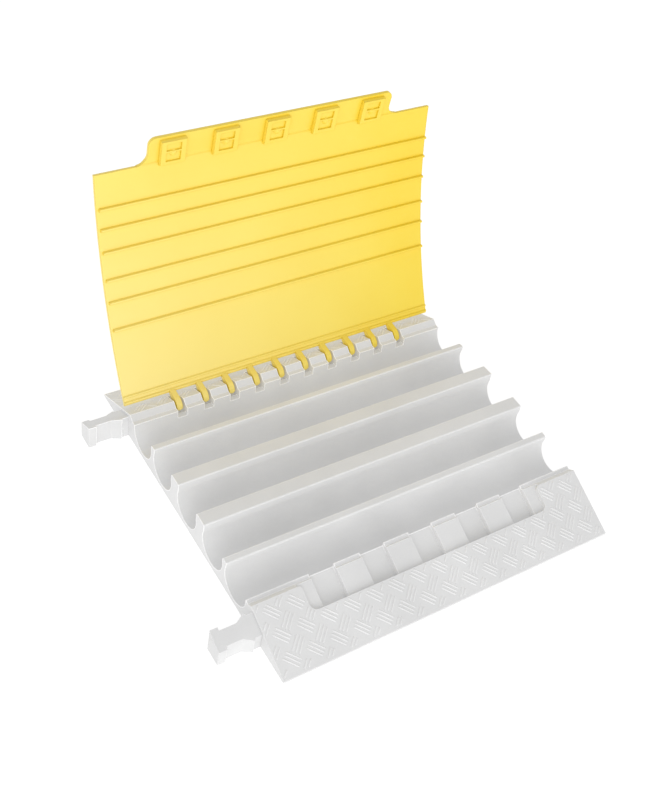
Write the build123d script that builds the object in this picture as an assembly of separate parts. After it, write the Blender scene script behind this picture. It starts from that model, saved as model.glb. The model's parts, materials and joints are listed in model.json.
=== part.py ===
from build123d import *

import os
from math import asin, atan2, cos, degrees, hypot, radians, sin, sqrt

# Cable protector ramp. Millimetres, +Z up, origin at the centre of the footprint on the ground.
# X runs along the cable channels, +Y is the hinge side. The lid is drawn closed and stored open.
# Heights follow from the channels' size, and the lid, ramps and hinge from the outermost channels.

# Base
LENGTH = 500.0             # along the channels
END_GAP = 2.0              # open joint between two modules
RAMP_RUN = 85.0            # level length of a ramp
TOE_HEIGHT = 3.0           # blunt edge at the foot of each ramp

# Cable channels
CHANNEL_MOUTH = 48.8
CHANNEL_UNDERCUT = 1.2     # round bottom beyond the mouth, each side
CHANNEL_FLOOR = 6.9        # under the round bottom
INNER_WALL = 20.2
OUTER_WALL = 9.5
WALL_CHAMFER = 1.0

# Heights above the channels' axis
CREST_RISE = 9.1           # where a ramp meets the lid
LEDGE_DROP = 6.0           # groove and ledge below the crest
LID_RISE = 11.8            # middle of the lid's underside above the crest
LID_SAG = 16.0             # from there down to the lid's side edges
HINGE_DROP = 13.4          # rod below the crest

# Distances outward from the outermost channels' mouths
LIP_REACH = 1.5            # flat land, front
GROOVE_OUT = 5.5           # groove that the lid's front edge drops into
LID_OUT = 6.5              # underside of the lid, at either side edge
LEDGE_OUT = 7.6            # flat beside the rear channel
CREST_OUT = 13.3           # front crest
RAIL_OUT = 15.3            # rear crest, at the hinge rail
HINGE_OUT = 21.3
CONNECTOR_OUT = 30.8

# Lid
LID_THICKNESS = 4.0
LID_END_INSET = 1.4
SEAT_GAP = 0.4             # wall tops below the lid

# Tab at the front of the lid and the seat for it
TAB_REACH = 32.8           # down the ramp from the crest
TAB_END_INSET = 71.4       # from the base's ends
TAB_CORNER = 10.0
TAB_ROOT_RADIUS = 14.0
TAB_SINK = 1.3             # outer face of the tab below the ramp
TAB_BEND = 3.0             # underside runs this far above the crest before it meets the sheet
TAB_END_GAP = 0.8          # in front of the tab
TAB_SIDE_GAP = 4.0         # beside it
TAB_SEAT_GAP = 0.5         # below it
SEAT_ROOT_RADIUS = 5.0

# Latch pads and their pockets
PAD_COUNT = 5
PAD_WIDTH = 34.0
PAD_END_INSET = 31.8       # outermost pad's middle from the tab's end
PAD_PROUD = 6.0            # at the tip
PAD_REAR_PROUD = 4.5
PAD_TIP_INSET = 4.0        # from the tab's free edge
PAD_REAR_OUT = 2.8         # rear end, beyond the channel's mouth
PAD_SIDE_GAP = 1.0
POCKET_DEPTH = 9.0         # at the tip
POCKET_REAR_DEPTH = 5.2    # where it opens into the channel
WINDOW_WIDTH = 20.0
WINDOW_TOP = 4.0           # recess in a pad's face, from the pad's tip
WINDOW_END = 30.4
WINDOW_DEPTH = 2.0
BAR_TOP = 14.5             # bar across the recess
BAR_WIDTH = 2.4
STUD_DOWN = 18.5
STUD_RADIUS = 6.2          # round stud, a cap of this sphere
STUD_PROUD = 0.8

# Ribs and beads under the lid
RIB_WIDTH = 5.0
RIB_HEIGHT = 3.6
RIB_WALL_GAP = 9.0
RIB_LEFT_INSET = 3.5
BEAD_WIDTH = 4.4
BEAD_HEIGHT = 1.6
BEAD_OUTS = (3.3, -4.7)

# Hinge
OPEN_ANGLE = 108.5
ROD_RADIUS = 5.0
ROD_GAP = 0.1
PLUG_LENGTH = 5.0
PLUG_SINK = 0.5            # plug below the socket wall that the bore opens into
ROD_CHAMFER = 0.8
HOOK_COUNT = 10
HOOK_END_INSET = 16.0      # outermost hook's middle from the bore's end
HOOK_WIDTH = 8.4
EYE_WALL = 3.9
HOOK_CURL = 3.8            # outside of the hook beyond the eye
HOOK_THICKNESS = 4.4
HOOK_TIP_ANGLE = 271.0     # where the round tip starts, lid closed, from +Y towards +Z
WEB_SWEEP = 57.0           # the web meets the curl so many degrees on from the lid's edge
WEB_REACH = 4.0            # web along the sheet
SLOT_WIDTH = 14.0
SLOT_GAP = 1.6
SLOT_FLOOR_DROP = 4.2      # floor of the slot's open front, below the rod

# Dog-bone connectors and their sockets
CONNECTOR_REACH = 55.5     # from the joint between modules to either tip
HEAD_LENGTH = 11.0
HEAD_HALF = 12.8
NECK_HALF = 9.0
FLARE_HALF = 15.8
WAIST_HALF = 13.0
WAIST_END = 8.0            # distances from the joint
FLARE_START = 10.0
FLARE_END = 22.6
HEAD_ROUND = 1.6
SOCKET_GAP = 0.4
SOCKET_SKIN = 2.4          # ramp left over a socket

BURY = 1.0                 # how far joined shapes run into each other

CHANNEL_RADIUS = CHANNEL_MOUTH / 2 + CHANNEL_UNDERCUT
CHANNEL_AXIS_Z = CHANNEL_FLOOR + CHANNEL_RADIUS
INNER_Y = CHANNEL_MOUTH + INNER_WALL
OUTER_Y = INNER_Y + CHANNEL_MOUTH + OUTER_WALL
CHANNELS = (OUTER_Y, INNER_Y, 0.0, -INNER_Y, -OUTER_Y)
MOUTHS_END = OUTER_Y + CHANNEL_MOUTH / 2
CREST_Y = MOUTHS_END + CREST_OUT
CREST_Z = CHANNEL_AXIS_Z + CREST_RISE
HALF_WIDTH = CREST_Y + RAMP_RUN
SLOPE = atan2(CREST_Z - TOE_HEIGHT, RAMP_RUN)
LEDGE_Z = CREST_Z - LEDGE_DROP
LID_HALF_WIDTH = MOUTHS_END + LID_OUT
CROWN_TOP_Z = CREST_Z + LID_RISE
CROWN_RADIUS = (LID_HALF_WIDTH ** 2 + LID_SAG ** 2) / (2 * LID_SAG)
CROWN_CENTRE_Z = CROWN_TOP_Z - CROWN_RADIUS
LID_LENGTH = LENGTH - 2 * LID_END_INSET
TAB_HALF_WIDTH = LENGTH / 2 - TAB_END_INSET
TAB_UNDER = TAB_SINK + LID_THICKNESS
SEAT_DEPTH = TAB_UNDER + TAB_SEAT_GAP
SEAT_REACH = TAB_REACH + TAB_END_GAP
HINGE_Y = MOUTHS_END + HINGE_OUT
HINGE_Z = CREST_Z - HINGE_DROP
EYE_RADIUS = ROD_RADIUS + ROD_GAP + EYE_WALL
HOOK_RADIUS = EYE_RADIUS + HOOK_CURL
CONNECTOR_Y = MOUTHS_END + CONNECTOR_OUT
BORE_END = LENGTH / 2 + END_GAP / 2 - CONNECTOR_REACH - SOCKET_GAP
ROD_LENGTH = 2 * (BORE_END - PLUG_SINK - PLUG_LENGTH)


def spread(count, end):
    """Evenly spaced positions along X from -end to end."""
    return [end * (2 * i / (count - 1) - 1) for i in range(count)]


HOOK_XS = spread(HOOK_COUNT, BORE_END - HOOK_END_INSET)
PAD_XS = spread(PAD_COUNT, TAB_HALF_WIDTH - PAD_END_INSET)


def section(*points):
    """A closed straight-sided outline in the cross section, from (y, z) points."""
    return make_face(Polyline(*[(0, y, z) for y, z in points], close=True))


def along(face, length, centre=0.0):
    """The cross section face, extruded along X and centred there."""
    return Pos(centre - length / 2, 0, 0) * extrude(face, amount=length, dir=(1, 0, 0))


def rod_along(radius, length, y, z, centre=0.0):
    """A round bar along X."""
    return Pos(centre, y, z) * Rot(0, 90, 0) * Cylinder(radius, length)


def crown(y, offset=0.0):
    """Height of the lid's underside at y, or of the face offset outward from it."""
    return CROWN_CENTRE_Z + sqrt((CROWN_RADIUS + offset) ** 2 - y ** 2)


def on_ramp(down, depth=0.0):
    """(y, z) on the front ramp: so far down it from the crest, and so deep under it."""
    y = -CREST_Y - down * cos(SLOPE) + depth * sin(SLOPE)
    z = CREST_Z - down * sin(SLOPE) - depth * cos(SLOPE)
    return y, z


def ramp_z(y, depth=0.0):
    """Height of either ramp's plane at y, or of a plane so deep under it."""
    return CREST_Z - (abs(y) - CREST_Y) * sin(SLOPE) / cos(SLOPE) - depth / cos(SLOPE)


def ramp_plane():
    """On the front ramp at the crest, local x along X, local y down the ramp, z outward."""
    return Plane(origin=(0, -CREST_Y, CREST_Z), x_dir=(-1, 0, 0), z_dir=(0, -sin(SLOPE), cos(SLOPE)))


def crown_band(front_y, rear_y, inner, outer):
    """Cross section between two arcs about the crown's centre, cut off at two heights y."""
    lower = [(0, y, crown(y, inner)) for y in (front_y[0], 0.0, rear_y[0])]
    upper = [(0, y, crown(y, outer)) for y in (rear_y[1], 0.0, front_y[1])]
    ends = [Line(lower[2], upper[0]), Line(upper[2], lower[0])]
    return make_face(Wire([ThreePointArc(*lower), ends[0], ThreePointArc(*upper), ends[1]]))


# ---- Base ----

def base_outline():
    """Cross section of the base before channels, pockets and slots."""
    front_y, rear_y = -MOUTHS_END - LIP_REACH, MOUTHS_END
    front, top, rear = [(0, y, crown(y, -SEAT_GAP)) for y in (front_y, 0.0, rear_y)]
    rear_ledge_y, rail_y = MOUTHS_END + LEDGE_OUT, MOUTHS_END + RAIL_OUT
    groove_y = -MOUTHS_END - GROOVE_OUT
    outline = [rear, (0, rear_y, LEDGE_Z), (0, rear_ledge_y, LEDGE_Z), (0, rail_y, CREST_Z),
               (0, HALF_WIDTH, TOE_HEIGHT), (0, HALF_WIDTH, 0), (0, -HALF_WIDTH, 0),
               (0, -HALF_WIDTH, TOE_HEIGHT), (0, -CREST_Y, CREST_Z), (0, groove_y, LEDGE_Z), front]
    edges = [Line(a, b) for a, b in zip(outline, outline[1:])]
    return make_face(Wire([ThreePointArc(front, top, rear)] + edges))


def channel_outline(centre):
    """Cross sections of the round bottom and of the mouth, whose edges are chamfered."""
    left, right = centre - CHANNEL_MOUTH / 2, centre + CHANNEL_MOUTH / 2
    left_out, right_out = left - WALL_CHAMFER, right + WALL_CHAMFER
    low, high = -SEAT_GAP - WALL_CHAMFER, -SEAT_GAP
    round_part = Pos(0, centre, CHANNEL_AXIS_Z) * Rot(0, 90, 0) * Circle(CHANNEL_RADIUS)
    mouth = section((left, CHANNEL_AXIS_Z), (right, CHANNEL_AXIS_Z), (right, crown(right, low)),
                    (right_out, crown(right, high)), (right_out, CROWN_TOP_Z), (left_out, CROWN_TOP_Z),
                    (left_out, crown(left, high)), (left, crown(left, low)))
    return round_part, mouth


def tab_outline(half, reach, corner, root, shoulder, back):
    """A tab's plan on the ramp, local y down it: round front corners, roots flared to a shoulder line."""
    wide, foot = half + root, shoulder + root
    bow = 1 - cos(radians(45))
    root_middle = (half + root * bow, shoulder + root * bow)
    corner_middle = (half - corner * bow, reach - corner * bow)
    edge = [Line((wide, -back), (wide, shoulder)),
            ThreePointArc((wide, shoulder), root_middle, (half, foot)),
            Line((half, foot), (half, reach - corner)),
            ThreePointArc((half, reach - corner), corner_middle, (half - corner, reach)),
            Line((half - corner, reach), (0, reach)),
            Line((0, reach), (0, -back)),
            Line((0, -back), (wide, -back))]
    half_face = make_face(Wire(edge))
    return half_face + mirror(half_face, about=Plane.YZ)


def tab_seat():
    """The room that the tab lies in."""
    back = (CREST_OUT - GROOVE_OUT) / cos(SLOPE) + SEAT_DEPTH * sin(SLOPE)
    outline = tab_outline(TAB_HALF_WIDTH + TAB_SIDE_GAP, SEAT_REACH, TAB_CORNER, SEAT_ROOT_RADIUS, 0, back)
    plan = ramp_plane() * Pos(0, 0, -SEAT_DEPTH) * outline
    return extrude(plan, amount=2 * SEAT_DEPTH, dir=(0, -sin(SLOPE), cos(SLOPE)))


def pad_pocket(x):
    """One pocket in the seat's floor for a latch pad, open to the front channel."""
    mouth_y = -MOUTHS_END
    mouth_z = crown(mouth_y, -POCKET_REAR_DEPTH)
    face = section(on_ramp(SEAT_REACH, SEAT_DEPTH - BURY), on_ramp(SEAT_REACH, SEAT_DEPTH + POCKET_DEPTH),
                   (mouth_y, mouth_z), (mouth_y + BURY, mouth_z), (mouth_y + BURY, CREST_Z),
                   (mouth_y - LIP_REACH, CREST_Z))
    return along(face, PAD_WIDTH + 2 * PAD_SIDE_GAP, x)


def connector_plan(clearance=0.0):
    """Half of the dog-bone seen from above: local x away from the joint, local y across."""
    tip = CONNECTOR_REACH + clearance
    shoulder = CONNECTOR_REACH - HEAD_LENGTH - clearance
    halves = [(0, WAIST_HALF), (WAIST_END, WAIST_HALF), (FLARE_START, FLARE_HALF), (FLARE_END, NECK_HALF),
              (shoulder, NECK_HALF), (shoulder, HEAD_HALF), (tip, HEAD_HALF)]
    side = [(x, half + clearance) for x, half in halves]
    points = side + [(x, -y) for x, y in reversed(side)]
    return make_face(Polyline(*points, close=True))


def dog_bone(end, side, clearance, depth, bottom=0.0):
    """The connector's solid, or with a clearance its socket: both halves, topped parallel to the ramp."""
    half = connector_plan(clearance)
    tips = half.vertices().group_by(Axis.X)[-1]
    half = fillet(tips, HEAD_ROUND + clearance)
    plan = half + mirror(half, about=Plane.YZ)
    block = extrude(Pos(0, 0, bottom) * plan, amount=CREST_Z - bottom)
    placed = Pos(end * (LENGTH / 2 + END_GAP / 2), side * CONNECTOR_Y, 0) * block
    near, far = side * (CONNECTOR_Y - 2 * FLARE_HALF), side * (CONNECTOR_Y + 2 * FLARE_HALF)
    under = section((near, bottom), (far, bottom), (far, ramp_z(far, depth)), (near, ramp_z(near, depth)))
    return placed & along(under, 2 * LENGTH)


def hinge_slot(x):
    """The slot in the hinge rail that one hook swings in, open to the rear channel."""
    floor = HINGE_Z - SLOT_FLOOR_DROP
    front = section((MOUTHS_END - BURY, floor), (HINGE_Y, floor), (HINGE_Y, CREST_Z + BURY),
                    (MOUTHS_END - BURY, CREST_Z + BURY))
    return along(front, SLOT_WIDTH, x) + rod_along(HOOK_RADIUS + SLOT_GAP, SLOT_WIDTH, HINGE_Y, HINGE_Z, x)


def make_base():
    body = along(base_outline(), LENGTH)
    for centre in CHANNELS:
        for face in channel_outline(centre):
            body -= along(face, LENGTH + 2)
    body -= tab_seat()
    for x in PAD_XS:
        body -= pad_pocket(x)
    for x in HOOK_XS:
        body -= hinge_slot(x)
    for end in (-1, 1):
        for side in (-1, 1):
            body -= dog_bone(end, side, SOCKET_GAP, SOCKET_SKIN, -BURY)
    body -= rod_along(ROD_RADIUS, 2 * BORE_END, HINGE_Y, HINGE_Z)
    return body


# ---- Lid, drawn closed ----

def lid_edge(side, offset):
    """(y, z) of the lid's side edge, cut square, on the underside or on the face offset outward from it."""
    lean = asin(LID_HALF_WIDTH / CROWN_RADIUS)
    radius = CROWN_RADIUS + offset
    return side * radius * sin(lean), CROWN_CENTRE_Z + radius * cos(lean)


def lid_sheet():
    edges = [lid_edge(side, offset)[0] for side in (-1, 1) for offset in (0, LID_THICKNESS)]
    return along(crown_band(edges[:2], edges[2:], 0, LID_THICKNESS), LID_LENGTH)


def lid_tab():
    """The bent tab with its outline cut square to the ramp."""
    overlap = 2 * LID_THICKNESS
    inner_y = lid_edge(-1, 0)[0] + overlap
    profile = section((inner_y, crown(inner_y, BURY)), (inner_y, crown(inner_y, LID_THICKNESS - BURY)),
                      lid_edge(-1, LID_THICKNESS), on_ramp(0, TAB_SINK), on_ramp(TAB_REACH, TAB_SINK),
                      on_ramp(TAB_REACH, TAB_UNDER), on_ramp(-TAB_BEND, TAB_UNDER), lid_edge(-1, 0))
    edge_y, edge_z = lid_edge(-1, 0)
    shoulder = (CREST_Z - edge_z) * sin(SLOPE) - (edge_y + CREST_Y) * cos(SLOPE)
    outline = tab_outline(TAB_HALF_WIDTH, TAB_REACH, TAB_CORNER, TAB_ROOT_RADIUS, shoulder, 3 * overlap)
    plan = ramp_plane() * Pos(0, 0, -2 * overlap) * outline
    cutter = extrude(plan, amount=4 * overlap, dir=(0, -sin(SLOPE), cos(SLOPE)))
    return along(profile, LENGTH) & cutter


def latch_pad(x):
    """A block under the tab. Its face has a recess crossed by a bar with a round stud."""
    reach = TAB_REACH - PAD_TIP_INSET
    rear_y = -MOUTHS_END - PAD_REAR_OUT
    tip = on_ramp(reach, TAB_UNDER + PAD_PROUD)
    rear = (rear_y, crown(rear_y, -PAD_REAR_PROUD))
    face = hypot(rear[0] - tip[0], rear[1] - tip[1])
    run_y, run_z = (rear[0] - tip[0]) / face, (rear[1] - tip[1]) / face

    def on_pad(down, depth):
        """So far along the pad's face from its tip, and so deep in it."""
        return tip[0] + down * run_y - depth * run_z, tip[1] + down * run_z + depth * run_y

    block = section(on_ramp(reach, TAB_UNDER - BURY), tip, rear, (rear_y, crown(rear_y, BURY)),
                    on_ramp(0, TAB_UNDER - BURY))
    recess = section(on_pad(WINDOW_TOP, WINDOW_DEPTH), on_pad(WINDOW_TOP, -BURY), on_pad(WINDOW_END, -BURY),
                     on_pad(WINDOW_END, WINDOW_DEPTH))
    floor = WINDOW_DEPTH + BURY
    bar_end = BAR_TOP + BAR_WIDTH
    bar = section(on_pad(BAR_TOP, floor), on_pad(BAR_TOP, 0), on_pad(bar_end, 0), on_pad(bar_end, floor))
    over = section(on_pad(WINDOW_TOP, floor), on_pad(WINDOW_TOP, -BURY), on_pad(face, -BURY), on_pad(face, floor))
    stud = Pos(x, *on_pad(STUD_DOWN, STUD_RADIUS - STUD_PROUD)) * Sphere(STUD_RADIUS)
    pad = along(block, PAD_WIDTH, x) - along(recess, WINDOW_WIDTH, x)
    return pad + along(bar, WINDOW_WIDTH + BURY, x) + (stud & along(over, PAD_WIDTH, x))


def hinge_hook(x):
    """A hook that leaves the lid's hinge edge, holds the rod in an eye and curls on under it to a round tip."""
    edge_y, edge_z = lid_edge(1, 0)
    root = degrees(atan2(edge_z - HINGE_Z, edge_y - HINGE_Y))
    inner = HOOK_RADIUS - HOOK_THICKNESS
    half = HOOK_WIDTH / 2

    def polar(radius, angle):
        return HINGE_Y + radius * cos(radians(angle)), HINGE_Z + radius * sin(radians(angle))

    def curl(start, end):
        middle = (start + end) / 2
        outside = [(0, *polar(HOOK_RADIUS, angle)) for angle in (start, middle, end)]
        inside = [(0, *polar(inner, angle)) for angle in (end, middle, start)]
        face = make_face(Wire([ThreePointArc(*outside), Line(outside[2], inside[0]),
                               ThreePointArc(*inside), Line(inside[2], outside[0])]))
        return along(face, HOOK_WIDTH, x)

    web_y = edge_y - WEB_REACH
    web = section((web_y, crown(web_y, LID_THICKNESS / 2)), (web_y, crown(web_y)),
                  polar(HOOK_RADIUS, root + WEB_SWEEP), (HINGE_Y, HINGE_Z), lid_edge(1, LID_THICKNESS / 2))
    tip_turn = degrees(half / HOOK_RADIUS)
    tip_y, tip_z = polar(HOOK_RADIUS, HOOK_TIP_ANGLE)
    rounder = Pos(x, tip_y, tip_z) * Rot(HOOK_TIP_ANGLE - 90, 0, 0) * Cylinder(half, 4 * half)
    hook = along(web, HOOK_WIDTH, x) + curl(root, HOOK_TIP_ANGLE)
    hook += curl(HOOK_TIP_ANGLE - tip_turn, HOOK_TIP_ANGLE + tip_turn) & rounder
    hook += rod_along(EYE_RADIUS, HOOK_WIDTH, HINGE_Y, HINGE_Z, x)
    return hook - rod_along(ROD_RADIUS + ROD_GAP, HOOK_WIDTH + BURY, HINGE_Y, HINGE_Z, x)


def rib_ys():
    """Ribs run above the channels, each one a set gap outside the wall that it flanks."""
    half = CHANNEL_MOUTH / 2
    walls = [(CHANNELS[i] - half, CHANNELS[i + 1] + half) for i in (1, 2, 3)]
    return [y for rear, front in walls for y in (rear + RIB_WALL_GAP, front - RIB_WALL_GAP)]


def underside_bar(y, width, height, inset=0.0):
    """A straight ridge along X under the lid, stopping short of the lid's left end by the inset."""
    low = crown(y) - height
    face = section((y - width / 2, crown(y, BURY)), (y + width / 2, crown(y, BURY)),
                   (y + width / 4, low), (y - width / 4, low))
    return along(face, LID_LENGTH - inset, inset / 2)


def make_lid():
    lid = lid_sheet() + lid_tab()
    for y in rib_ys():
        lid += underside_bar(y, RIB_WIDTH, RIB_HEIGHT, RIB_LEFT_INSET)
    for out in BEAD_OUTS:
        lid += underside_bar(MOUTHS_END + out, BEAD_WIDTH, BEAD_HEIGHT)
    for x in PAD_XS:
        lid += latch_pad(x)
    for x in HOOK_XS:
        lid += hinge_hook(x)
    return lid


def opened(shape):
    """The shape turned about the hinge from closed to open."""
    return Pos(0, HINGE_Y, HINGE_Z) * Rot(-OPEN_ANGLE, 0, 0) * Pos(0, -HINGE_Y, -HINGE_Z) * shape


# ---- Small pieces ----

def make_rod():
    rod = rod_along(ROD_RADIUS, ROD_LENGTH, HINGE_Y, HINGE_Z)
    ends = rod.edges().filter_by(GeomType.CIRCLE)
    return chamfer(ends, ROD_CHAMFER)


def make_plug(end):
    return rod_along(ROD_RADIUS, PLUG_LENGTH, HINGE_Y, HINGE_Z, end * (ROD_LENGTH + PLUG_LENGTH) / 2)


PARTS = {
    "base": make_base(),
    "lid": opened(make_lid()),
    "hinge_rod": make_rod(),
    "rod_plug_left": make_plug(-1),
    "rod_plug_right": make_plug(1),
    "connector_front": dog_bone(-1, -1, 0.0, SOCKET_SKIN + SOCKET_GAP),
    "connector_rear": dog_bone(-1, 1, 0.0, SOCKET_SKIN + SOCKET_GAP),
}

os.makedirs("parts", exist_ok=True)
for name, shape in PARTS.items():
    shape.label = name
    export_step(shape, f"parts/{name}.step")
    box = shape.bounding_box()
    print(name, len(shape.solids()), round(shape.volume), box.min, box.max)
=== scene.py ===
"""Looks of the cable protector ramp: materials, raised tread, floor, light and camera."""
import json
import math

import bpy
from mathutils import Matrix, Vector
from mathutils.bvhtree import BVHTree


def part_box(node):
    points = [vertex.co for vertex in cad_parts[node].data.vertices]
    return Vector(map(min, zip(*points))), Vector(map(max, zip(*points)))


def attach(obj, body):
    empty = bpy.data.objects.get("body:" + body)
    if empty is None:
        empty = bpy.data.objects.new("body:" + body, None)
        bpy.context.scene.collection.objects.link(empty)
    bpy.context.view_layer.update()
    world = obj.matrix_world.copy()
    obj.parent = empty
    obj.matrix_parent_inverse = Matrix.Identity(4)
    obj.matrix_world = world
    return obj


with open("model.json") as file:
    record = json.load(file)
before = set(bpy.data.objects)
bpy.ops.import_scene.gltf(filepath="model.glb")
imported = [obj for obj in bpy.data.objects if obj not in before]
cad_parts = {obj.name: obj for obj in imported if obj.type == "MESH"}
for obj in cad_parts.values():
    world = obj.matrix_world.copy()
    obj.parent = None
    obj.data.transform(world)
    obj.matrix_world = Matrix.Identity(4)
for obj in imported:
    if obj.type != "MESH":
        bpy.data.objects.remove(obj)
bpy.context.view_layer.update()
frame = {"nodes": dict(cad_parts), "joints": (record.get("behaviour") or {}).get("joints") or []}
MM = 0.001

# ---------------------------------------------------------------- node helpers

EDGE_SAMPLES = 6
SOFT_SAMPLES = 4
RELIEF_DEPTH = 0.4 * MM
MIX_FACTOR, MIX_A, MIX_B, MIX_RESULT = 0, 6, 7, 2      # sockets of a colour mix


class Graph:
    """A material's or world's node tree, with short calls for the nodes used here."""

    def __init__(self, tree):
        self.tree = tree
        self.nodes = tree.nodes
        self.nodes.clear()

    def add(self, kind, **settings):
        node = self.nodes.new(kind)
        for key, value in settings.items():
            setattr(node, key, value)
        return node

    def put(self, socket, value):
        if isinstance(value, bpy.types.NodeSocket):
            self.tree.links.new(value, socket)
        elif value is not None:
            socket.default_value = value

    def noise(self, where, scale, detail=3.0, rough=0.55, stretch=None):
        if stretch is not None:
            mapping = self.add("ShaderNodeMapping")
            self.put(mapping.inputs["Vector"], where)
            mapping.inputs["Scale"].default_value = stretch
            where = mapping.outputs["Vector"]
        node = self.add("ShaderNodeTexNoise")
        self.put(node.inputs["Vector"], where)
        node.inputs["Scale"].default_value = scale
        node.inputs["Detail"].default_value = detail
        node.inputs["Roughness"].default_value = rough
        return node.outputs["Fac"]

    def ramp(self, value, low, high, to_low=0.0, to_high=1.0):
        node = self.add("ShaderNodeMapRange")
        self.put(node.inputs["Value"], value)
        for name, number in (("From Min", low), ("From Max", high), ("To Min", to_low), ("To Max", to_high)):
            node.inputs[name].default_value = number
        return node.outputs["Result"]

    def math(self, operation, a, b=None):
        node = self.add("ShaderNodeMath", operation=operation)
        self.put(node.inputs[0], a)
        self.put(node.inputs[1], b)
        return node.outputs[0]

    def mix(self, factor, a, b):
        node = self.add("ShaderNodeMix", data_type="RGBA")
        self.put(node.inputs[MIX_FACTOR], factor)
        self.put(node.inputs[MIX_A], a)
        self.put(node.inputs[MIX_B], b)
        return node.outputs[MIX_RESULT]

    def split(self, vector):
        node = self.add("ShaderNodeSeparateXYZ")
        self.put(node.inputs[0], vector)
        return node.outputs

    def edge_mask(self, radius, low, high):
        """1 at the sharp edges, 0 on open faces: how far a softened normal turns from the face's own."""
        soft = self.add("ShaderNodeBevel", samples=EDGE_SAMPLES)
        soft.inputs["Radius"].default_value = radius
        geometry = self.add("ShaderNodeNewGeometry")
        dot = self.add("ShaderNodeVectorMath", operation="DOT_PRODUCT")
        self.put(dot.inputs[0], soft.outputs["Normal"])
        self.put(dot.inputs[1], geometry.outputs["Normal"])
        return self.ramp(self.math("SUBTRACT", 1.0, dot.outputs["Value"]), low, high)

    def crease_mask(self, reach, low, high):
        """1 deep in corners and grooves, 0 on open faces: where shade is painted."""
        cover = self.add("ShaderNodeAmbientOcclusion", samples=EDGE_SAMPLES)
        cover.inputs["Distance"].default_value = reach
        return self.ramp(cover.outputs["AO"], low, high, 1.0, 0.0)


def rgb(r, g, b):
    return (r, g, b, 1.0)


def new_material(name):
    material = bpy.data.materials.new(name)
    material.use_nodes = True
    return material, Graph(material.node_tree)


def finish_material(g, color, roughness, height, bump, radius, metallic=0.0, glow=0.0):
    """The shader: edges softened by radius, then relief by bump. A glow lifts the darkest tones."""
    shader = g.add("ShaderNodeBsdfPrincipled")
    output = g.add("ShaderNodeOutputMaterial")
    soft = g.add("ShaderNodeBevel", samples=SOFT_SAMPLES)
    soft.inputs["Radius"].default_value = radius
    relief = g.add("ShaderNodeBump")
    relief.inputs["Strength"].default_value = bump
    relief.inputs["Distance"].default_value = RELIEF_DEPTH
    g.put(relief.inputs["Height"], height)
    g.put(relief.inputs["Normal"], soft.outputs["Normal"])
    g.put(shader.inputs["Base Color"], color)
    g.put(shader.inputs["Roughness"], roughness)
    g.put(shader.inputs["Normal"], relief.outputs["Normal"])
    shader.inputs["Metallic"].default_value = metallic
    if glow:
        g.put(shader.inputs["Emission Color"], color)
        shader.inputs["Emission Strength"].default_value = glow
    g.put(output.inputs["Surface"], shader.outputs["BSDF"])


# The painted edge highlight is weaker on the front ramp, in front of its crest.
FRONT_CREST_Y = (-163 * MM, -156 * MM)
FRONT_HIGHLIGHT = 0.3
GREY_GLOW = 0.30


def rubber(name, dark, light, edge, rough_low, rough_high, crease_shade=0.4):
    """Matt grey moulding: cloudy tone, fine grain, a painted highlight along the edges that is fainter on
    the front ramp, and painted shade in creases.
    """
    material, g = new_material(name)
    where = g.add("ShaderNodeTexCoord").outputs["Object"]
    cloud = g.noise(where, 9.0, 4.0)
    grain = g.noise(where, 420.0, 2.0)
    color = g.mix(g.ramp(cloud, 0.35, 0.65), rgb(*dark), rgb(*light))
    color = g.mix(g.ramp(grain, 0.3, 0.7, 0.0, 0.12), color, rgb(*(0.86 * v for v in dark)))
    scuff = g.noise(where, 70.0, 5.0, 0.65, (1.0, 3.0, 3.0))
    # Painted highlight: paler rounded edges, broken up a little by scuff noise and weaker on the front ramp.
    edge_highlight = g.math("MULTIPLY", g.edge_mask(0.0022, 0.02, 0.2), g.ramp(scuff, 0.3, 0.6, 0.7, 1.0))
    edge_highlight = g.math("MULTIPLY", edge_highlight, g.ramp(g.split(where)["Y"], *FRONT_CREST_Y, FRONT_HIGHLIGHT, 1.0))
    color = g.mix(edge_highlight, color, rgb(*edge))
    # Painted shade: darker grey deep in corners and grooves.
    crease = g.math("MULTIPLY", g.crease_mask(0.004, 0.2, 0.75), crease_shade)
    color = g.mix(crease, color, rgb(0.36, 0.36, 0.355))
    roughness = g.ramp(scuff, 0.3, 0.7, rough_low, rough_high)
    height = g.math("ADD", g.math("MULTIPLY", cloud, 0.4), g.math("MULTIPLY", grain, 0.6))
    finish_material(g, color, roughness, height, 0.18, 0.0006, glow=GREY_GLOW)
    return material


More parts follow.
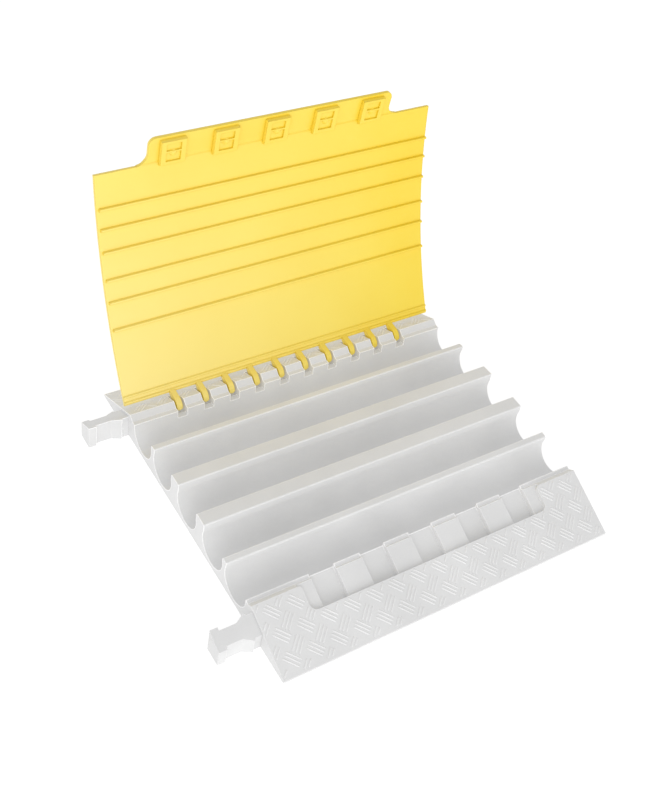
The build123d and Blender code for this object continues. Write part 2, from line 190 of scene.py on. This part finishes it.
def yellow_plastic(name):
    """Satin yellow moulding: a painted sheen paler towards its left and lower parts, painted shade deeper
    along rims and in creases, lightly scuffed.
    """
    material, g = new_material(name)
    where = g.add("ShaderNodeTexCoord").outputs["Object"]
    cloud = g.noise(where, 6.0, 4.0)
    grain = g.noise(where, 520.0, 2.0)
    scuff = g.noise(where, 55.0, 6.0, 0.7, (1.0, 4.0, 4.0))
    place = g.split(where)
    color = g.mix(g.ramp(cloud, 0.3, 0.7), rgb(0.95, 0.70, 0.05), rgb(0.97, 0.75, 0.08))
    # Painted sheen: paler towards the left and lower parts, where the light falls.
    left_low_sheen = g.math("MULTIPLY", g.ramp(place["X"], -0.25, 0.2, 1.0, 0.0),
                  g.ramp(place["Z"], 0.05, 0.36, 0.55, 0.22))
    color = g.mix(left_low_sheen, color, rgb(0.98, 0.86, 0.42))
    color = g.mix(g.ramp(scuff, 0.55, 0.8, 0.0, 0.2), color, rgb(0.97, 0.80, 0.2))
    # Painted shade: deeper yellow along the rims.
    rim = g.edge_mask(0.0016, 0.03, 0.25)
    color = g.mix(g.math("MULTIPLY", rim, 0.75), color, rgb(0.78, 0.53, 0.0))
    # Painted shade: deeper yellow deep in corners and grooves.
    color = g.mix(g.math("MULTIPLY", g.crease_mask(0.0055, 0.25, 0.85), 0.8), color, rgb(0.80, 0.57, 0.0))
    roughness = g.ramp(scuff, 0.3, 0.7, 0.36, 0.5)
    height = g.math("ADD", g.math("MULTIPLY", cloud, 0.3), g.math("MULTIPLY", grain, 0.7))
    finish_material(g, color, roughness, height, 0.12, 0.0005)
    return material


def drawn_steel(name):
    """Plain drawn bar: streaks along its length and a few dull patches."""
    material, g = new_material(name)
    where = g.add("ShaderNodeTexCoord").outputs["Object"]
    streak = g.noise(where, 700.0, 3.0, 0.6, (0.03, 1.0, 1.0))
    patch = g.noise(where, 30.0, 4.0)
    color = g.mix(g.ramp(streak, 0.3, 0.7), rgb(0.42, 0.42, 0.43), rgb(0.62, 0.62, 0.63))
    color = g.mix(g.ramp(patch, 0.55, 0.75, 0.0, 0.4), color, rgb(0.30, 0.27, 0.24))
    roughness = g.ramp(patch, 0.3, 0.7, 0.25, 0.45)
    finish_material(g, color, roughness, streak, 0.15, 0.0004, metallic=1.0)
    return material


def plug_plastic(name):
    """Matt black cap with a faint mould grain and a paler rim."""
    material, g = new_material(name)
    where = g.add("ShaderNodeTexCoord").outputs["Object"]
    grain = g.noise(where, 600.0, 2.0)
    cloud = g.noise(where, 60.0, 4.0)
    color = g.mix(g.ramp(cloud, 0.3, 0.7), rgb(0.03, 0.03, 0.032), rgb(0.055, 0.055, 0.058))
    color = g.mix(g.math("MULTIPLY", g.edge_mask(0.0006, 0.03, 0.25), 0.6), color, rgb(0.16, 0.16, 0.16))
    finish_material(g, color, g.ramp(cloud, 0.3, 0.7, 0.45, 0.6), grain, 0.2, 0.0004)
    return material


# The third colour of each rubber is its painted edge highlight.
BASE = rubber("base_grey", (0.56, 0.56, 0.56), (0.60, 0.60, 0.60), (0.97, 0.97, 0.97), 0.5, 0.68)
TREAD = rubber("base_tread_grey", (0.60, 0.60, 0.60), (0.65, 0.65, 0.65), (0.80, 0.80, 0.80), 0.45, 0.6,
               crease_shade=0.0)
JOINER = rubber("joiner_grey", (0.55, 0.55, 0.55), (0.60, 0.60, 0.60), (0.92, 0.92, 0.92), 0.5, 0.7)
YELLOW = yellow_plastic("lid_yellow_plastic")
STEEL = drawn_steel("rod_drawn_steel")
PLUG = plug_plastic("plug_black_plastic")

for node_name, material in (("base", BASE), ("lid", YELLOW), ("hinge_rod", STEEL),
                            ("rod_plug_left", PLUG), ("rod_plug_right", PLUG),
                            ("connector_front", JOINER), ("connector_rear", JOINER)):
    mesh = frame["nodes"][node_name].data
    mesh.materials.clear()
    mesh.materials.append(material)

# ---------------------------------------------------------------- raised tread

BAR_LENGTH = 22 * MM
BAR_WIDTH = 1.9 * MM
BAR_HEIGHT = 0.8 * MM
BAR_SINK = 0.35 * MM
BAR_PITCH = 4.5 * MM
BAR_CLEAR = 2.2 * MM
CELL_X = 32.4 * MM
CELL_S = 29.4 * MM
FAMILIES = ((21.0 * MM, 15.0 * MM, 46.0), (34.5 * MM, 2.2 * MM, 131.0))     # first x, first s, angle
BAR_SHORTEST = 9 * MM
PANEL_MARGIN = 2 * MM
LOOK_HEIGHT = 12 * MM
LOOK_REACH = 200 * MM
SPAN_STEPS = 22
END_WIDTH = 0.45
END_HEIGHT = 0.1
STATIONS = (-1.0, -0.86, -0.45, 0.0, 0.45, 0.86, 1.0)
PROFILE = ((-0.5, -1.0), (-0.46, 0.35), (-0.26, 0.9), (0.0, 1.0), (0.26, 0.9), (0.46, 0.35), (0.5, -1.0))


class Panel:
    """A stretch of a CAD surface that carries tread, measured by x and by s, the distance across it.
    place(x, s) gives a point above the surface and look is the way down to it.
    flat(point, normal) says whether the surface is plain at a point on it."""

    def __init__(self, node_name, length, place, look, flat):
        mesh = frame["nodes"][node_name].data
        points = [vertex.co.copy() for vertex in mesh.vertices]
        self.tree = BVHTree.FromPolygons(points, [tuple(face.vertices) for face in mesh.polygons])
        low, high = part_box(node_name)
        self.left, self.right, self.length = low.x, high.x, length
        self.place, self.look, self.flat = place, look, flat

    def hit(self, point):
        return self.tree.ray_cast(self.place(point.x, point.y), self.look, LOOK_REACH)[:2]

    def is_plain(self, point, side):
        """Whether the surface is plain at the point and a little to either side of the bar."""
        inside_x = self.left + PANEL_MARGIN < point.x < self.right - PANEL_MARGIN
        inside_s = PANEL_MARGIN < point.y < self.length - PANEL_MARGIN
        if not (inside_x and inside_s):
            return False
        for shift in (0.0, -BAR_CLEAR, BAR_CLEAR):
            where, normal = self.hit(point + side * shift)
            if where is None or not self.flat(where, normal):
                return False
        return True

    def clear_span(self, middle, run, side):
        """The longest stretch of the bar that lies on plain surface inside the panel."""
        best = (0.0, 0.0)
        start = None
        for i in range(SPAN_STEPS + 1):
            t = BAR_LENGTH * i / SPAN_STEPS - BAR_LENGTH / 2
            if self.is_plain(middle + run * t, side):
                start = t if start is None else start
                if t - start > best[1] - best[0]:
                    best = (start, t)
            else:
                start = None
        return best

    def bar_places(self):
        """Middle, run and side of each bar: groups of three in two crossing directions."""
        columns = int((self.right - self.left) / CELL_X) + 3
        rows = int(self.length / CELL_S) + 3
        for first_x, first_s, angle in FAMILIES:
            run = Vector((math.cos(math.radians(angle)), math.sin(math.radians(angle))))
            side = Vector((-run.y, run.x))
            for column in range(-1, columns):
                for row in range(-1, rows):
                    centre = Vector((self.left + first_x + column * CELL_X, first_s + row * CELL_S))
                    for lane in (-1, 0, 1):
                        yield centre + side * BAR_PITCH * lane, run, side

    def add_bar(self, vertices, faces, middle, run, side, half):
        """One bar that follows the surface, its foot sunk into it and left open."""
        first = len(vertices)
        count = len(PROFILE)
        for station in STATIONS:
            at_end = abs(station) == 1.0
            taper = END_WIDTH if at_end else 1.0
            for across, up in PROFILE:
                where = self.hit(middle + run * half * station + side * across * BAR_WIDTH * taper)[0]
                height = BAR_HEIGHT * (END_HEIGHT if at_end else up)
                vertices.append(where - self.look * (height if up > 0 else -BAR_SINK))
        for i in range(len(STATIONS) - 1):
            for j in range(count - 1):
                a = first + i * count + j
                faces.append((a, a + 1, a + count + 1, a + count))
        last = first + (len(STATIONS) - 1) * count
        faces.append(tuple(range(first, first + count)))
        faces.append(tuple(reversed(range(last, last + count))))

    def tread(self, name, body, material):
        vertices = []
        faces = []
        for middle, run, side in self.bar_places():
            low, high = self.clear_span(middle, run, side)
            if high - low >= BAR_SHORTEST:
                self.add_bar(vertices, faces, middle + run * (low + high) / 2, run, side, (high - low) / 2)
        mesh = bpy.data.meshes.new(name)
        mesh.from_pydata(vertices, [], faces)
        mesh.update()
        for polygon in mesh.polygons:
            polygon.use_smooth = True
        mesh.materials.append(material)
        obj = bpy.data.objects.new(name, mesh)
        bpy.context.scene.collection.objects.link(obj)
        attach(obj, body)


DOWN = Vector((0, 0, -1))
RAMP_LENGTH = 92.3 * MM
FLAT_ERROR = 0.25 * MM
SAME_WAY = 0.995            # cosine between two normals that count as one plane
TOE_INSET = 1 * MM
RAMP_SPAN = 60 * MM
END_INSET = 12 * MM


def ramp_frame(sign):
    """A ramp's crest point, its direction down the slope and its outward normal, from the base's surface."""
    low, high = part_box("base")
    base = Panel("base", 0.0, lambda x, y: Vector((x, y, LOOK_REACH)), DOWN, None)
    near, far = [base.hit(Vector((low.x + END_INSET, sign * (high.y - inset))))[0]
                 for inset in (TOE_INSET, RAMP_SPAN)]
    along = (near - far).normalized()
    return near - along * RAMP_LENGTH, along, Vector((0, sign * abs(along.z), abs(along.y)))


def tread_ramp(name, sign):
    crest, along, normal = ramp_frame(sign)

    def place(x, s):
        p = crest + along * s
        return Vector((x, p.y, p.z)) + normal * LOOK_HEIGHT

    def flat(where, surface_normal):
        return abs((where - crest).dot(normal)) < FLAT_ERROR and surface_normal.dot(normal) > SAME_WAY

    Panel("base", RAMP_LENGTH, place, -normal, flat).tread(name, "base", TREAD)


HINGE = [joint for joint in frame["joints"] if joint["name"] == "lid_hinge"][0]
PIVOT = Vector(HINGE["pos_m"])
TURN = Matrix.Rotation(-math.radians(HINGE["range_deg"][1]), 3, "X")
BACK = TURN.inverted()
CROWN_FRONT = -149 * MM
CROWN_REAR = 151 * MM
CROWN_LOOK = 75 * MM
CROWN_LOWEST = 38 * MM
CROWN_STEEPEST = 0.97       # cosine of the lean at which the crown ends
TAB_LENGTH = 36 * MM
TAB_DEEPEST = 3 * MM


def stored(closed):
    """Where a point of the closed lid is as the lid is stored, open."""
    return PIVOT + TURN @ (closed - PIVOT)


def closed_from(point):
    """Where a point of the stored lid is once the lid is closed."""
    return PIVOT + BACK @ (point - PIVOT)


def tread_crown():
    def place(x, s):
        return stored(Vector((x, CROWN_FRONT + s, CROWN_LOOK)))

    def flat(where, normal):
        return (BACK @ normal).z > CROWN_STEEPEST and closed_from(where).z > CROWN_LOWEST

    panel = Panel("lid", CROWN_REAR - CROWN_FRONT, place, TURN @ DOWN, flat)
    panel.tread("tread_lid", "lid", YELLOW)


def tread_tab():
    """The closed tab lies a little under the front ramp's plane and carries on its pattern."""
    crest, along, outward = ramp_frame(-1)

    def place(x, s):
        p = crest + along * s
        return stored(Vector((x, p.y, p.z)) + outward * LOOK_HEIGHT)

    def flat(where, normal):
        depth = (crest - closed_from(where)).dot(outward)
        return (BACK @ normal).dot(outward) > SAME_WAY and 0 < depth < TAB_DEEPEST

    Panel("lid", TAB_LENGTH, place, TURN @ -outward, flat).tread("tread_tab", "lid", YELLOW)


tread_ramp("tread_front", -1)
tread_ramp("tread_rear", 1)
tread_crown()
tread_tab()

# ---------------------------------------------------------------- floor, light, camera

FLOOR_RADIUS = 14.0
FLOOR_DROP = 0.4 * MM


def stage_floor():
    bpy.ops.mesh.primitive_circle_add(vertices=96, radius=FLOOR_RADIUS, fill_type="NGON",
                                      location=(0, 0, -FLOOR_DROP))
    floor = bpy.context.object
    floor.name = "studio_floor"
    material, g = new_material("studio_floor_white")
    where = g.add("ShaderNodeTexCoord").outputs["Object"]
    tone = g.mix(g.noise(where, 2.0), rgb(0.28, 0.28, 0.28), rgb(0.32, 0.32, 0.32))
    shader = g.add("ShaderNodeBsdfPrincipled")
    output = g.add("ShaderNodeOutputMaterial")
    g.put(shader.inputs["Base Color"], tone)
    shader.inputs["Roughness"].default_value = 0.9
    shader.inputs["Specular IOR Level"].default_value = 0.0
    shader.inputs["Emission Color"].default_value = rgb(1, 1, 1)
    shader.inputs["Emission Strength"].default_value = 0.84
    g.put(output.inputs["Surface"], shader.outputs["BSDF"])
    floor.data.materials.append(material)


def soft_world():
    """White all round at the horizon and softer overhead."""
    world = bpy.data.worlds.new("studio")
    bpy.context.scene.world = world
    world.use_nodes = True
    g = Graph(world.node_tree)
    direction = g.add("ShaderNodeTexCoord").outputs["Generated"]
    strength = g.ramp(g.split(direction)["Z"], 0.1, 0.7, 1.0, 0.62)
    background = g.add("ShaderNodeBackground")
    background.inputs["Color"].default_value = rgb(1, 1, 1)
    g.put(background.inputs["Strength"], strength)
    output = g.add("ShaderNodeOutputWorld")
    g.put(output.inputs["Surface"], background.outputs["Background"])


def soft_lamp(name, place, aim, size, power):
    lamp = bpy.data.lights.new(name, "AREA")
    lamp.shape = "DISK"
    lamp.size = size
    lamp.energy = power
    obj = bpy.data.objects.new(name, lamp)
    bpy.context.scene.collection.objects.link(obj)
    obj.location = Vector(place)
    obj.rotation_euler = (Vector(aim) - Vector(place)).to_track_quat("-Z", "Y").to_euler()
    obj.visible_camera = False


def studio_camera():
    camera = bpy.data.cameras.new("view")
    camera.sensor_width = 36.0
    camera.lens = 51.18443453
    camera.shift_x = 0.0014043960
    camera.shift_y = -0.0070830017
    camera.clip_start = 0.05
    camera.clip_end = 60.0
    obj = bpy.data.objects.new("view", camera)
    bpy.context.scene.collection.objects.link(obj)
    right = Vector((0.845103876, -0.516032802, 0.139676717))
    down = Vector((-0.282750342, -0.65318657, -0.702424052))
    forward = Vector((0.453708808, 0.55412765, -0.697918953))
    turn = Matrix((right, -down, -forward)).transposed()
    obj.matrix_world = Matrix.Translation(Vector((-0.699743816, -0.768001257, 1.136608943))) @ turn.to_4x4()
    bpy.context.scene.camera = obj


stage_floor()
soft_world()
soft_lamp("key", (-1.0, -1.5, 0.9), (0, 0.1, 0.15), 1.2, 9.0)
soft_lamp("low_front", (0.15, -1.5, 0.12), (-0.1, 0.2, 0.15), 0.8, 3.5)
studio_camera()
bpy.context.scene.view_settings.view_transform = "Standard"
